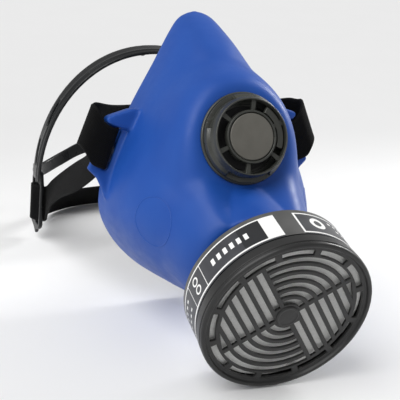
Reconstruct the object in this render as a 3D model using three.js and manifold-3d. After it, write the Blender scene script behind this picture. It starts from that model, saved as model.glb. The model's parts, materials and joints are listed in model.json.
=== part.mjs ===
// Half-mask respirator with one screw-on filter, standing on its filter rim, chin and head cradle.
// Millimetres, +Z up, the wearer's line of sight along -Y, the object symmetric about X = 0.
import * as THREE from 'three';
import { mergeVertices } from 'three/addons/utils/BufferGeometryUtils.js';
import Module from 'manifold-3d';

const wasm = await Module();
wasm.setup();

const GAP = 0.3;                      // free space between two pieces that rest on each other
const RAD = Math.PI / 180;
const ROUND = 40;                     // sides of a large round piece
const SMALL = 32;                     // sides of a piece that fits the port or the valve

// Facepiece: measured in its rim plane, S up the rim from the chin, D forward from the rim.
const RIM_LEAN = -10.8 * RAD;
const CHIN = [0, 4.3, -56.8];
const RIM_OUTLINE = [[0, 0], [3, 9], [10, 21], [20, 36], [34, 49], [51, 56.5], [70, 54.5], [90, 47],
  [110, 37.5], [132, 25], [150, 15], [158, 9], [162, 0]];
const KEEL_OUTLINE = [[0, 0], [2, 22], [6, 52], [12, 75], [22, 86], [40, 89], [58, 87.5], [74, 82.5],
  [97, 74], [114, 69.5], [123, 63], [132, 51.5], [143, 37.5], [152, 22], [158, 10], [162, 0]];
const SECTION_POWER = 2.3;
const WALL = 2.8;
const PAD_RISE = 0.6;                 // how far the pads of the port and the valve stand off the cup
const LIP_WIDTH = 12;
const LIP_THICK = 2.4;
const CUP_SIZE = { half: 56.5, centre: 72, tall: 90, deep: 89 };

// Filter port: an Rd 40 x 1/7 in round thread, tilted down from the rim's forward direction.
const PORT = { s: 34.1, d: 92.3, tilt: 115.4 * RAD, flat: 28, blend: 16, face: -3.3, boreR: 23.9,
  nutR: 25.6, deep: 25 };
const THREAD = { majorR: 19.9, rootR: 18.6, pitch: 25.4 / 7, neckEnd: -9.4 };

// Exhalation valve: its base lies on a flat of the facepiece, tilted up.
const VALVE = { s: 97.2, d: 72.6, tilt: 78.05 * RAD, flat: 25, blend: 20, face: 0, boreR: 21.6,
  nutR: 22.8, deep: 9 };
const EASE = { from: 20, over: 20 };  // depths from a flat over which the cup stops following it
const VALVE_GUARD = 15;               // width round the valve's flat where the port's flat takes hold

// Strap lugs: plates beside the rim, in axes U outward and V up along the slot.
const LUG = { x: 53.5, s: 86.3, lean: 20.5 * RAD, d: 15, thick: 3.2, slotHalf: 1.9, slotReach: 12.4,
  fingerBack: -2.6, fingerFront: 5.5 };

// Elastic band
const BAND = { wide: 24, thick: 1.5 };

// Head cradle
const CRADLE = { half: 67.5, rise: 83, power: 2.11, baseY: 104, baseZ: -18, lean: 7 * RAD, wide: 12.5,
  backWide: 9, thick: 2.2, backY: 163, backZ: -18, plateX: 66, plateThick: 2.4, slotHigh: 27,
  slotTop: -22.5, toeZ: -57.5 };

// Filter: Z forward from the face of the port.
const CAN = { rearZ: 8.2, rearR: 42.5, frontR: 44.0, splitZ: 33.6, rimR: 45.4, rimZ: 42.4, faceZ: 40.6,
  hubZ: 41.4 };

const finish = {
  blue: { color: 0x2f5ba8, roughness: 0.55, metalness: 0 },
  black: { color: 0x1c1c1d, roughness: 0.5, metalness: 0 },
  graphite: { color: 0x3c3d3a, roughness: 0.48, metalness: 0 },
  badge: { color: 0x6a6862, roughness: 0.4, metalness: 0.1 },
  webbing: { color: 0x131314, roughness: 0.9, metalness: 0 },
  rubber: { color: 0x2a2a2b, roughness: 0.8, metalness: 0 },
  silicone: { color: 0xc9c2ad, roughness: 0.6, metalness: 0 },
  media: { color: 0xbdbdba, roughness: 0.95, metalness: 0 },
  carbon: { color: 0x141414, roughness: 1, metalness: 0 },
  label: { color: 0x101011, roughness: 0.35, metalness: 0 },
};

const assembly = new THREE.Group();

// ---------- solid tools ----------

// A closed geometry with shared corners, no empty triangles and its faces pointing out.
function closedGeometry(geometry) {
  const bare = geometry.index ? geometry.toNonIndexed() : geometry.clone();
  bare.deleteAttribute('normal');
  bare.deleteAttribute('uv');
  const merged = mergeVertices(bare, 1e-4);
  const place = merged.attributes.position;
  const source = merged.index.array;
  const kept = [];
  let volume = 0;
  const [a, b, c] = [new THREE.Vector3(), new THREE.Vector3(), new THREE.Vector3()];
  for (let i = 0; i < source.length; i += 3) {
    const [p, q, r] = [source[i], source[i + 1], source[i + 2]];
    if (p !== q && q !== r && r !== p) {
      kept.push(p, q, r);
      a.fromBufferAttribute(place, p);
      b.fromBufferAttribute(place, q);
      c.fromBufferAttribute(place, r);
      volume += a.dot(b.cross(c));
    }
  }
  if (volume < 0) {
    kept.reverse();
  }
  merged.setIndex(kept);
  return merged;
}

function solid(geometry) {
  const closed = closedGeometry(geometry);
  return new wasm.Manifold(new wasm.Mesh({
    numProp: 3,
    vertProperties: new Float32Array(closed.attributes.position.array),
    triVerts: new Uint32Array(closed.index.array),
  }));
}

function geometryOf(body) {
  const mesh = body.getMesh();
  const geometry = new THREE.BufferGeometry();
  geometry.setAttribute('position', new THREE.BufferAttribute(new Float32Array(mesh.vertProperties), 3));
  geometry.setIndex(new THREE.BufferAttribute(new Uint32Array(mesh.triVerts), 1));
  return geometry;
}

function addPiece(parent, name, body, look) {
  const piece = new THREE.Mesh(geometryOf(body), new THREE.MeshStandardMaterial(finish[look]));
  piece.name = name;
  parent.add(piece);
}

// A solid of revolution about Z from a closed outline of [radius, z] corners.
function turned(outline, sides = ROUND) {
  const corners = outline.map(([r, z]) => new THREE.Vector2(r, z));
  if (outline.every(([r]) => r > 0)) {
    corners.push(corners[0].clone());
  }
  return solid(new THREE.LatheGeometry(corners, sides).rotateX(Math.PI / 2));
}

function ringOf(innerR, outerR, low, high, sides = ROUND) {
  return turned([[innerR, low], [outerR, low], [outerR, high], [innerR, high]], sides);
}

function discOf(radius, low, high, sides = ROUND) {
  return turned([[0, low], [radius, low], [radius, high], [0, high]], sides);
}

// A flat outline of [x, y] corners, or a Shape, given thickness from low to high.
function slab(outline, low, high, curveSegments = 8) {
  const drawn = outline instanceof THREE.Shape;
  const shape = drawn ? outline : new THREE.Shape(outline.map(([x, y]) => new THREE.Vector2(x, y)));
  const depth = high - low;
  const geometry = new THREE.ExtrudeGeometry(shape, { depth, bevelEnabled: false, curveSegments });
  return solid(geometry.translate(0, 0, low));
}

function block(size, centre) {
  return solid(new THREE.BoxGeometry(...size).translate(...centre));
}

function sector(innerR, outerR, fromDeg, toDeg) {
  const shape = new THREE.Shape();
  shape.absarc(0, 0, outerR, fromDeg * RAD, toDeg * RAD, false);
  shape.absarc(0, 0, innerR, toDeg * RAD, fromDeg * RAD, true);
  shape.closePath();
  return shape;
}

function union(bodies) {
  return bodies.reduce((whole, next) => whole.add(next));
}

function placed(body, matrix) {
  return solid(geometryOf(body).applyMatrix4(matrix));
}

// A flat band: along the stations, `across` is the direction of its width at each.
function bandAlong(stations, width, thickness) {
  const positions = [];
  const triangles = [];
  const corners = [[-1, -1], [1, -1], [1, 1], [-1, 1]];
  stations.forEach(({ at, across }, i) => {
    const before = stations[Math.max(i - 1, 0)].at;
    const after = stations[Math.min(i + 1, stations.length - 1)].at;
    const along = after.clone().sub(before).normalize();
    const thick = along.cross(across).normalize();
    for (const [u, v] of corners) {
      const corner = at.clone().addScaledVector(across, u * width / 2);
      positions.push(...corner.addScaledVector(thick, v * thickness / 2).toArray());
    }
    if (i > 0) {
      for (let k = 0; k < 4; k += 1) {
        const [p, q] = [4 * i + k, 4 * i + (k + 1) % 4];
        triangles.push(p - 4, q - 4, q, p - 4, q, p);
      }
    }
  });
  const last = positions.length / 3 - 4;
  triangles.push(0, 2, 1, 0, 3, 2, last, last + 1, last + 2, last, last + 2, last + 3);
  const geometry = new THREE.BufferGeometry();
  geometry.setAttribute('position', new THREE.Float32BufferAttribute(positions, 3));
  geometry.setIndex(triangles);
  return solid(geometry);
}

// Stations on a smooth curve through [x, y, z, acrossX, acrossY, acrossZ] rows, a few between each two.
function smoothStations(rows, between) {
  const smooth = (points) => new THREE.CatmullRomCurve3(points, false, 'catmullrom', 0.5);
  const route = smooth(rows.map(([x, y, z]) => new THREE.Vector3(x, y, z)));
  const turn = smooth(rows.map((row) => new THREE.Vector3(...row.slice(3))));
  const count = (rows.length - 1) * between;
  return Array.from({ length: count + 1 }, (_, i) => (
    { at: route.getPoint(i / count), across: turn.getPoint(i / count).normalize() }));
}

const mirrored = (stations) => stations.map(({ at, across }) => ({
  at: at.clone().setX(-at.x), across: across.clone().setX(-across.x),
})).reverse();

// ---------- facepiece ----------

const rimFrame = new THREE.Group();
rimFrame.position.set(...CHIN);
rimFrame.rotation.x = RIM_LEAN;
assembly.add(rimFrame);

function flatOn({ s, d, tilt }) {
  const frame = new THREE.Group();
  frame.position.set(0, -d, s);
  frame.rotation.x = tilt;
  frame.updateMatrix();
  rimFrame.add(frame);
  return frame;
}

const portFrame = flatOn(PORT);
const valveFrame = flatOn(VALVE);

const smoothStep = (t) => {
  const x = Math.min(Math.max(t, 0), 1);
  return x * x * (3 - 2 * x);
};

const seenFrom = (point, frame) => point.clone().applyMatrix4(frame.matrix.clone().invert());

// Moves a point of the cup to just behind a flat near that flat's axis, and less with distance from it.
function easedToFlat(point, frame, { flat, blend, face }, hold = 1) {
  const local = seenFrom(point, frame);
  const across = Math.hypot(local.x, local.y);
  const target = face - PAD_RISE;
  const away = smoothStep((across - flat) / blend);
  const deep = smoothStep((Math.abs(local.z - target) - EASE.from) / EASE.over);
  local.z = target + (local.z - target) * (1 - hold * (1 - away) * (1 - deep));
  return local.applyMatrix4(frame.matrix);
}

function curveThrough(points) {
  return new THREE.SplineCurve(points.map(([a, b]) => new THREE.Vector2(a, b)));
}

const rimSamples = curveThrough(RIM_OUTLINE).getPoints(400);

function rimHalfWidth(s) {
  const above = rimSamples.findIndex((sample) => sample.x >= s);
  if (above <= 0) {
    return 0;
  }
  const [low, high] = [rimSamples[above - 1], rimSamples[above]];
  return THREE.MathUtils.mapLinear(s, low.x, high.x, low.y, high.y);
}

// The cup's outer skin, closed by a flat at the rim; a wall thickness shrinks it towards the inside.
function cup(wall, backDepth) {
  const rows = 24;
  const columns = 20;
  const keel = curveThrough(KEEL_OUTLINE).getSpacedPoints(rows);
  const { half: cupHalf, tall, deep, centre } = CUP_SIZE;
  const shrink = { x: 1 - wall / cupHalf, s: 1 - wall / tall, d: 1 - (wall + backDepth) / deep };
  const skin = (i, j) => {
    const half = rimHalfWidth(keel[i].x);
    const angle = Math.PI * j / columns;
    const [c, n] = [Math.cos(angle), Math.sin(angle)];
    const x = half * Math.sign(c) * Math.abs(c) ** (2 / SECTION_POWER);
    const d = keel[i].y * Math.abs(n) ** (2 / SECTION_POWER);
    const atValve = easedToFlat(new THREE.Vector3(x, -d, keel[i].x), valveFrame, VALVE);
    const { x: besideX, y: besideY } = seenFrom(atValve, valveFrame);
    const hold = smoothStep((Math.hypot(besideX, besideY) - VALVE.flat) / VALVE_GUARD);
    const eased = easedToFlat(atValve, portFrame, PORT, hold);
    const rise = centre + (eased.z - centre) * shrink.s;
    return new THREE.Vector3(eased.x * shrink.x, eased.y * shrink.d - backDepth, rise);
  };
  const positions = [];
  const face = (...points) => {
    for (const point of points) {
      positions.push(point.x, point.y, point.z);
    }
  };
  for (let i = 0; i < rows; i += 1) {
    for (let j = 0; j < columns; j += 1) {
      const [a, b, c, d] = [skin(i, j), skin(i, j + 1), skin(i + 1, j + 1), skin(i + 1, j)];
      face(a, b, c, a, c, d);
    }
    const [a, b, c, d] = [skin(i, columns), skin(i, 0), skin(i + 1, 0), skin(i + 1, columns)];
    face(a, b, c, a, c, d);
  }
  const geometry = new THREE.BufferGeometry();
  geometry.setAttribute('position', new THREE.Float32BufferAttribute(positions, 3));
  return solid(geometry);
}

// The opening for the face, inside the turned-in lip.
function faceOpening() {
  const right = curveThrough(RIM_OUTLINE).getSpacedPoints(18);
  const centre = 76;
  const inset = right.map(({ x: s, y: half }) => {
    const away = new THREE.Vector2(half, s - centre);
    return away.setLength(Math.max(away.length() - LIP_WIDTH, 1));
  });
  const left = inset.slice(1, -1).reverse().map(({ x, y }) => new THREE.Vector2(-x, y));
  const outline = new THREE.Shape([...inset, ...left].map(({ x, y }) => new THREE.Vector2(x, y + centre)));
  return placed(slab(outline, -LIP_THICK - 3, 3), new THREE.Matrix4().makeRotationX(Math.PI / 2)
    .multiply(new THREE.Matrix4().makeScale(1, 1, -1)));
}

// The plate with the bar that the band goes round, and the deeper finger above it that keeps the band on.
function lug() {
  const plate = [[-14, 24], [-2, 24], [9, 15], [9.6, 13.8], [8.8, 12.6], [8.6, 0], [8.8, -13], [9.6, -14.2],
    [6.5, -15.6], [2.2, -17.6], [-2.6, -22.4], [-6, -27], [-14, -26]];
  const finger = [[-14, 27], [-2, 24.5], [8.5, 16.6], [9.6, 14.8], [8.8, 12.9], [5, 12.7], [-14, 13.4]];
  return slab(plate, -LUG.thick / 2, LUG.thick / 2).add(slab(finger, LUG.fingerBack, LUG.fingerFront));
}

function lugMatrix() {
  const turn = new THREE.Matrix4().makeRotationX(Math.PI / 2);
  const lean = new THREE.Matrix4().makeRotationZ(LUG.lean);
  return new THREE.Matrix4().makeTranslation(LUG.x, -LUG.d, LUG.s).multiply(turn).multiply(lean);
}

const MIRROR = new THREE.Matrix4().makeScale(-1, 1, 1);

function bothSides(body) {
  return [body, placed(body, MIRROR)];
}

// A round fitting's bore through the wall, its flat seat outside and room for its nut inside.
function fittingCuts({ flat, face, boreR, nutR, deep }, frame) {
  return [discOf(flat + 1, face, face + 12, SMALL), discOf(boreR, face - 16, face + 4, SMALL),
    discOf(nutR + 0.4, face - deep, face - WALL, SMALL)].map((cut) => placed(cut, frame.matrix));
}

// The cup's thickened ring round a fitting; the port's reaches back to the skin below the valve.
function pad({ flat, face, deep }, frame) {
  return placed(discOf(flat + 0.6, face - deep, face + PAD_RISE, SMALL), frame.matrix);
}

function facepiece() {
  const plate = placed(lug(), lugMatrix());
  const slot = placed(block([2 * LUG.slotHalf, 2 * LUG.slotReach, 9], [0, 0, 0]), lugMatrix());
  const outer = union([cup(0, 0), pad(PORT, portFrame), pad(VALVE, valveFrame), ...bothSides(plate)]);
  const cuts = [cup(WALL, LIP_THICK), faceOpening(), ...fittingCuts(PORT, portFrame),
    ...fittingCuts(VALVE, valveFrame), ...bothSides(slot)];
  return cuts.reduce((body, cut) => body.subtract(cut), outer);
}

addPiece(rimFrame, 'facepiece', facepiece(), 'blue');

// ---------- filter port ----------

// A round plate with open sectors between its spokes.
function spokedPlate(hubR, openR, outerR, low, high, spokes, spokeDeg) {
  const step = 360 / spokes;
  const windows = Array.from({ length: spokes }, (_, i) => (
    slab(sector(hubR, openR, i * step + spokeDeg, (i + 1) * step - spokeDeg), low - 1, high + 1, 2)));
  return discOf(outerR, low, high, SMALL).subtract(union(windows));
}

const SOCKET = { boreR: 20.4, tubeR: 23.6, flangeR: 26, flangeBack: -3, floor: -12 };
const connector = turned([[SOCKET.boreR, SOCKET.floor], [SOCKET.tubeR, SOCKET.floor],
  [SOCKET.tubeR, SOCKET.flangeBack], [SOCKET.flangeR, SOCKET.flangeBack], [SOCKET.flangeR, -0.8],
  [SOCKET.flangeR - 0.8, 0], [SOCKET.boreR + 0.6, 0], [SOCKET.boreR, -0.6]], SMALL);
addPiece(portFrame, 'connector_housing', connector, 'black');
addPiece(portFrame, 'connector_lock_ring', ringOf(23.8, PORT.nutR, -9.6, -6.6, SMALL), 'black');
addPiece(portFrame, 'connector_gasket', ringOf(16, 20.1, -11.7, -9.8, SMALL), 'rubber');
const inhaleSeat = spokedPlate(4, 15.5, 23.5, -14.6, -12.3, 6, 7).add(discOf(1.6, -17.4, -14, 16));
addPiece(portFrame, 'inhalation_valve_seat', inhaleSeat, 'graphite');
addPiece(portFrame, 'inhalation_valve_flap', ringOf(2, 17.2, -15.8, -14.9, 24), 'silicone');

// ---------- exhalation valve ----------

const COVER = { baseR: 24.3, baseTop: 2, collarR: 22.8, topR: 20.2, front: 11.7, sink: 1.6, plate: 2 };
const exhaleBarb = turned([[17.8, -8], [20.6, -8], [VALVE.nutR, -5.6], [VALVE.nutR, -4.2], [21.3, -3.4],
  [21.3, GAP], [COVER.baseR, GAP], [COVER.baseR, 1.4], [COVER.baseR - 0.6, COVER.baseTop],
  [17.8, COVER.baseTop]], SMALL);
const exhaleSpider = spokedPlate(4.5, 15.2, 18.5, -1.4, 0.6, 6, 8).subtract(discOf(2.4, -3, 3, 16));
addPiece(valveFrame, 'exhalation_valve_seat', exhaleBarb.add(exhaleSpider), 'graphite');
const flapStem = turned([[0, -4.6], [2.9, -4.6], [2, -3.3], [2, 1], [0, 1]], 16);
const exhaleFlap = discOf(16.6, 0.9, 1.8, 24).add(flapStem);
addPiece(valveFrame, 'exhalation_valve_flap', exhaleFlap, 'rubber');

function valveCover() {
  const floor = COVER.front - COVER.sink;
  const underside = floor - COVER.plate;
  const shell = turned([[0, underside], [19.1, underside], [19.6, 6], [21, COVER.baseTop + GAP],
    [23.2, COVER.baseTop + GAP], [COVER.collarR, 5.2], [21.2, 6.6], [20.5, 9], [COVER.topR, 11.2],
    [COVER.topR - 0.3, COVER.front], [19.3, COVER.front], [19, floor], [14, floor], [13.7, 11.4],
    [12.8, 11.4], [12.4, 10.4], [0, 10.4]], SMALL);
  const windows = Array.from({ length: 6 }, (_, i) => (
    slab(sector(14.1, 18.8, i * 60 + 25, i * 60 + 77), underside - 2, floor + 1, 2)));
  const grips = [[105, 165], [235, 300], [-15, 45]].map(([from, to]) => (
    slab(sector(20.9, 26, from, to), 3.6, 7.6, 2)));
  return shell.subtract(union([...windows, ...grips]));
}

addPiece(valveFrame, 'valve_cover', valveCover(), 'graphite');
const badge = turned([[0, 10.7], [12.1, 10.7], [12.1, 11.1], [11.7, 11.4], [0, 11.4]], SMALL);
addPiece(valveFrame, 'valve_cover_badge', badge, 'badge');

// ---------- filter ----------

// The round thread on the neck: one ridge wound about Z.
function threadRidge(turns, startZ) {
  const stepsPerTurn = 16;
  const steps = Math.round(turns * stepsPerTurn);
  const profile = [[THREAD.rootR - 0.6, -1.4], [THREAD.majorR - 0.5, -0.7], [THREAD.majorR, 0],
    [THREAD.majorR - 0.5, 0.7], [THREAD.rootR - 0.6, 1.4]];
  const positions = [];
  const corner = (i, [r, z]) => {
    const angle = 2 * Math.PI * i / stepsPerTurn;
    const fade = Math.min(1, i / 5, (steps - i) / 5);
    const radius = THREAD.rootR - 0.6 + (r - THREAD.rootR + 0.6) * Math.max(fade, 0.1);
    return [radius * Math.cos(angle), radius * Math.sin(angle), startZ + z + THREAD.pitch * i / stepsPerTurn];
  };
  for (let i = 0; i < steps; i += 1) {
    profile.forEach((from, k) => {
      const to = profile[(k + 1) % profile.length];
      const [a, b, c, d] = [corner(i, from), corner(i, to), corner(i + 1, to), corner(i + 1, from)];
      positions.push(...a, ...b, ...c, ...a, ...c, ...d);
    });
  }
  for (const end of [0, steps]) {
    for (let k = 1; k < profile.length - 1; k += 1) {
      const fan = [corner(end, profile[0]), corner(end, profile[k]), corner(end, profile[k + 1])];
      const facing = end === 0 ? fan.reverse() : fan;
      positions.push(...facing.flat());
    }
  }
  const geometry = new THREE.BufferGeometry();
  geometry.setAttribute('position', new THREE.Float32BufferAttribute(positions, 3));
  return solid(geometry);
}

const housing = turned([[15.5, THREAD.neckEnd], [18.1, THREAD.neckEnd],
  [THREAD.rootR, THREAD.neckEnd + 0.6], [THREAD.rootR, CAN.rearZ], [27, CAN.rearZ], [40.6, 9.4],
  [CAN.rearR, 11.4], [CAN.frontR - 0.6, 12.4], [CAN.frontR, CAN.splitZ], [42.2, CAN.splitZ],
  [40.9, 13.2], [15.5, 11.4]]);
addPiece(portFrame, 'filter_housing', housing.add(threadRidge(2.4, THREAD.neckEnd + 2.2)), 'graphite');
addPiece(portFrame, 'filter_neck_gasket', ringOf(20.4, 24.6, 5.6, CAN.rearZ - GAP, SMALL), 'rubber');
addPiece(portFrame, 'filter_label', turned([[43.75, 13], [44.15, 13], [44.7, 33], [44.3, 33]]), 'label');

const GRILLE = { fieldR: 36, spokeDeg: 33, bar: 2.4, slot: 3 };

// Curved slots in two quarters of the grille, straight ones in the other two.
function grilleCuts() {
  const cuts = [];
  const cut = (shape, curveSegments) => cuts.push(slab(shape, 36, 44, curveSegments));
  for (let i = 0; i < 12; i += 1) {
    cut(sector(37.4, 40.4, 30 * i + 22, 30 * i + 47), 1);
  }
  for (const start of [GRILLE.spokeDeg, GRILLE.spokeDeg + 180]) {
    for (let ring = 0; ring < 6; ring += 1) {
      const middle = 9 + 5.1 * ring;
      const margin = GRILLE.bar / 2 / middle / RAD;
      const [inner, outer] = [middle - GRILLE.slot / 2, middle + GRILLE.slot / 2];
      cut(sector(inner, outer, start + margin, start + 90 - margin), 3);
    }
  }
  return union(cuts).add(straightCuts());
}

function straightCuts() {
  const slots = [];
  for (const side of [0, 180]) {
    for (let row = 0; row < 7; row += 1) {
      const offset = 2.7 + 5.25 * row;
      const inner = row === 0 ? 7.2 : GRILLE.bar / 2;
      const reach = Math.sqrt((GRILLE.fieldR - 0.8) ** 2 - offset ** 2);
      const bar = block([GRILLE.slot, reach - inner, 8], [offset, -(inner + reach) / 2, 40]);
      slots.push(placed(bar, new THREE.Matrix4().makeRotationZ((GRILLE.spokeDeg + side) * RAD)));
    }
  }
  return union(slots);
}

const capShell = turned([[0, 39], [41.4, 39], [42.6, 37.8], [43, CAN.splitZ + GAP],
  [45, CAN.splitZ + GAP], [CAN.rimR, 39.2], [44.9, 39.5], [44.9, 39.9], [CAN.rimR, 40.2], [45.3, 41.3],
  [44.7, 42.2], [43.8, CAN.rimZ], [43, 42.2], [42.4, CAN.faceZ], [0, CAN.faceZ]]);
const hub = turned([[0, 39.6], [6.2, 39.6], [6.2, CAN.hubZ - 0.4], [5.8, CAN.hubZ], [0, CAN.hubZ]], 32);
addPiece(portFrame, 'filter_front_cover', capShell.subtract(grilleCuts()).add(hub), 'graphite');
addPiece(portFrame, 'prefilter_disc', discOf(41.5, 35.5, 37.6), 'media');

// Folded paper: a zigzag sheet trimmed to the round housing.
function pleatedElement() {
  const folds = 20;
  const reach = 40.6;
  const [low, high, paper] = [25, 35.2, 1.1];
  const upper = Array.from({ length: folds + 1 }, (_, i) => (
    [-reach + 2 * reach * i / folds, i % 2 ? high : low + paper]));
  const lower = upper.map(([x, z]) => [x, z - paper]).reverse();
  const sheet = slab([...upper, ...lower], -reach, reach);
  const upright = placed(sheet, new THREE.Matrix4().makeRotationX(Math.PI / 2));
  return upright.intersect(discOf(40.4, low - 2, high + 2, 32));
}

addPiece(portFrame, 'pleated_element', pleatedElement(), 'media');
addPiece(portFrame, 'carbon_retainer', spokedPlate(5, 37.5, 40.6, 22.4, 24.2, 8, 3), 'black');
addPiece(portFrame, 'carbon_bed', discOf(40.4, 15.4, 22), 'carbon');
addPiece(portFrame, 'rear_grid', spokedPlate(5, 37, 40, 13.6, 15, 8, 3), 'black');

// ---------- head harness ----------

function crownStations() {
  const { half, rise, power, baseY, baseZ, lean } = CRADLE;
  const across = new THREE.Vector3(0, Math.cos(lean), Math.sin(lean));
  const arch = Array.from({ length: 37 }, (_, i) => {
    const angle = Math.PI * i / 36;
    const [c, n] = [Math.cos(angle), Math.sin(angle)];
    const up = rise * Math.abs(n) ** (2 / power);
    const side = half * Math.sign(c) * Math.abs(c) ** (2 / power);
    return { at: new THREE.Vector3(side, baseY - up * Math.sin(lean), baseZ + up * Math.cos(lean)), across };
  });
  const foot = { at: new THREE.Vector3(half - 0.4, baseY + 0.4, baseZ - 3), across };
  const otherFoot = { at: foot.at.clone().setX(-foot.at.x), across };
  return [foot, ...arch, otherFoot];
}

// A plate with two upright slots for the head strap, ending in a point that stands on the ground.
function endPlate() {
  const { plateX, plateThick, slotHigh, slotTop, toeZ } = CRADLE;
  const outline = new THREE.Shape();
  outline.moveTo(98, -14);
  outline.lineTo(95, slotTop);
  outline.lineTo(95, -49);
  outline.quadraticCurveTo(97, -53, 102, -54);
  outline.lineTo(104.5, toeZ);
  outline.quadraticCurveTo(108, -54, 113, -53);
  outline.quadraticCurveTo(116, -52, 116, -48);
  outline.lineTo(116, slotTop);
  outline.lineTo(111, -14);
  outline.closePath();
  const slots = [[98, 104.4], [108.4, 113.6]].map(([from, to]) => (
    block([to - from, slotHigh, 12], [(from + to) / 2, slotTop - slotHigh / 2, 0])));
  const flat = slab(outline, -plateThick / 2, plateThick / 2, 4).subtract(union(slots));
  const upright = new THREE.Matrix4().makeBasis(new THREE.Vector3(0, 1, 0), new THREE.Vector3(0, 0, 1),
    new THREE.Vector3(1, 0, 0)).setPosition(plateX, 0, 0);
  return placed(flat, upright);
}

function headCradle() {
  const { backY, backZ, wide, backWide, thick } = CRADLE;
  const crown = bandAlong(crownStations(), wide, thick);
  const backRight = smoothStations([[66.4, 108, -16.5, 0, 0.05, 1], [63.5, 124, -21.5, 0.02, 0.1, 1],
    [54, 141, -27.5, 0.03, 0.15, 1], [38, 154, -25.4, 0.02, 0.2, 1], [20, 161, -20, 0, 0.22, 1],
    [0, backY, backZ, 0, 0.25, 1]], 3);
  const back = bandAlong([...backRight, ...mirrored(backRight).slice(1)], backWide, thick);
  const sideSlots = bothSides(block([12, 4, 17], [64, 98.6, 24]));
  return union([crown, back, ...bothSides(endPlate())]).subtract(union(sideSlots));
}

addPiece(assembly, 'head_cradle', headCradle(), 'black');

// From behind the lug back and down through the cradle's end plate, round its rear bar and behind the nape.
function headStrap() {
  const z = CRADLE.slotTop - CRADLE.slotHigh / 2;
  const right = smoothStations([[60.5, 38, 5, -0.4, 0.2, 0.88], [62, 54, -4, -0.42, 0.1, 0.9],
    [63, 72, -15.5, -0.36, 0.06, 0.93], [63, 88, -27.5, -0.15, 0.03, 1], [62.9, 97, z + 1, 0, 0, 1],
    [66.3, 101.2, z, 0, 0, 1], [69.3, 105, z, 0, 0, 1], [68.6, 109.4, z - 0.5, 0, 0, 1],
    [64.6, 111.4, z - 1, 0, 0, 1], [61.8, 116, -40, 0, -0.05, 1], [56, 127, -46, 0, -0.35, 0.94],
    [45, 138, -50, 0, -0.55, 0.83], [29, 147, -51.5, 0, -0.64, 0.77], [13, 150.8, -51.7, 0, -0.65, 0.76],
    [0, 151.5, -51.7, 0, -0.65, 0.76]], 3);
  return bandAlong([...right, ...mirrored(right).slice(1)], BAND.wide - 0.4, BAND.thick);
}

addPiece(assembly, 'head_strap', headStrap(), 'webbing');

// Behind the mask from lug to lug, forward round each lug's bar and back through its slot.
function neckStrap() {
  const toWorld = new THREE.Matrix4().makeTranslation(...CHIN)
    .multiply(new THREE.Matrix4().makeRotationX(RIM_LEAN)).multiply(lugMatrix());
  const up = new THREE.Vector3(0, 1, 0).transformDirection(toWorld);
  const loop = [[16.4, 8.3, -5], [17.4, 8.2, -1.2], [16, 7, 2.4], [13, 4.2, 4.2], [9, 0.8, 4.4], [5, 0, 4],
    [1.7, 0, 3.1], [0.3, 0, 1.4], [0.1, 0, -1.6], [0.1, 0, -5]];
  const behind = [[0, 43.5, 33], [16, 42.5, 33.5], [32, 37.5, 34.5], [46, 29.5, 37], [57, 21.5, 41]];
  const rows = [...behind.map((point) => [...point, 0, 0, 1]), ...loop.map(([u, v, depth]) => (
    [...new THREE.Vector3(u, v, depth).applyMatrix4(toWorld).toArray(), ...up.toArray()]))];
  const right = smoothStations(rows, 3);
  return bandAlong([...mirrored(right), ...right.slice(1)], BAND.wide - 0.4, BAND.thick);
}

addPiece(assembly, 'neck_strap', neckStrap(), 'webbing');

// ---------- origin: under the middle of the whole object, on the surface that it stands on ----------

assembly.updateMatrixWorld(true);
const extent = new THREE.Box3().setFromObject(assembly, true);
const middle = extent.getCenter(new THREE.Vector3());
const group = new THREE.Group();
assembly.position.set(-middle.x, -middle.y, -extent.min.z);
group.add(assembly);

export default group;
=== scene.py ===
"""A half-mask respirator with one screw-on filter: its fine surfaces, materials, stage, light and camera."""
import json
from math import copysign, cos, degrees, pi, radians, sin, sqrt

import bmesh
import bpy
import numpy as np
from mathutils import Matrix, Vector
from mathutils.bvhtree import BVHTree
from numpy.linalg import norm


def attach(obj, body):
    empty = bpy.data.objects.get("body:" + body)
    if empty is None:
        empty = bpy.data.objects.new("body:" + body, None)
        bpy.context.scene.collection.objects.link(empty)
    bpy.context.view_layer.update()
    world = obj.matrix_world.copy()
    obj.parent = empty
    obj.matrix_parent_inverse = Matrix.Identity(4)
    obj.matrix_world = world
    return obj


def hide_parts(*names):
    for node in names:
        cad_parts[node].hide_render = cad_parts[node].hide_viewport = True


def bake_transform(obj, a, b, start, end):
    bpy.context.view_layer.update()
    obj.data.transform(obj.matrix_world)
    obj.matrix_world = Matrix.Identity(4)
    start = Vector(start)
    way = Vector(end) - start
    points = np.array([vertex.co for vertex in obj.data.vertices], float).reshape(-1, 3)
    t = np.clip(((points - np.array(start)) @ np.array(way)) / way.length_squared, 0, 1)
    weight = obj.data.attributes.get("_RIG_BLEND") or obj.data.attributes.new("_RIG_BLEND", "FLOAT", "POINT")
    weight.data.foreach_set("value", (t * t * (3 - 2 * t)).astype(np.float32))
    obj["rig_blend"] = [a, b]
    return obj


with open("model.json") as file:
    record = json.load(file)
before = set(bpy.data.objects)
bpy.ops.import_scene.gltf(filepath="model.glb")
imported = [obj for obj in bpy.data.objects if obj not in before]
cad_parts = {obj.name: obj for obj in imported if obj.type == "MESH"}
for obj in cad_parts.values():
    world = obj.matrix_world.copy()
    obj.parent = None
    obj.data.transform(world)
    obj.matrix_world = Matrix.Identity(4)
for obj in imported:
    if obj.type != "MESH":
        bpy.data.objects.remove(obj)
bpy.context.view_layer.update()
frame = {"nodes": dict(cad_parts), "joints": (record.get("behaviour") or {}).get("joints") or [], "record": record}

MM = 0.001
UV_NAME = "millimetres"
X_AXIS = np.array([1.0, 0.0, 0.0])

# ---- places


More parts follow.
